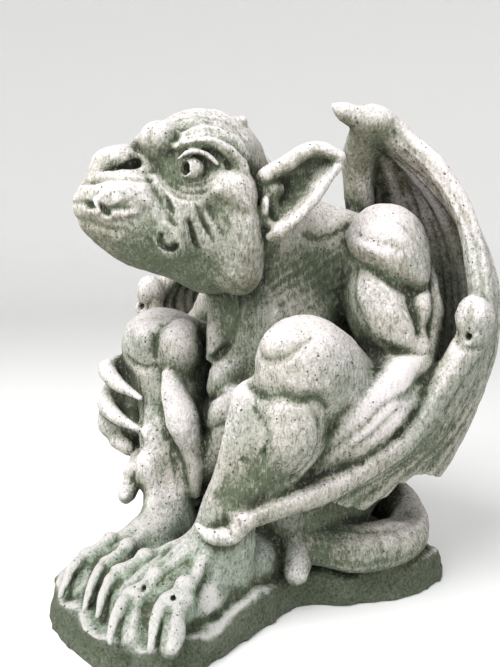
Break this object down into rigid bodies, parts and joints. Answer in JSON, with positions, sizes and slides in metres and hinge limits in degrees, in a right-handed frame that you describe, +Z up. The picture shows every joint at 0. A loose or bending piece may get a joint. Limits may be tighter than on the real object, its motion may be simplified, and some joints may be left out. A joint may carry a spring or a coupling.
{
  "type": "garden gargoyle statue",
  "caption": "Winged gargoyle crouching on a low rock base, head turned and wings wrapped round its sides, cast stone in one piece.",
  "frame": {"origin": "centre of the overall box at the flat underside of the rock", "axes": "+Z up, the body faces -Y, the creature's own left is +X"},
  "size_m": [0.3408, 0.3259, 0.3797],
  "materials": {
    "cast_stone": "weathered matt cast stone with green patina in the recesses and pale worn high spots"
  },
  "bodies": {
    "root": {"gargoyle": "cast_stone"}
  },
  "joints": []
}
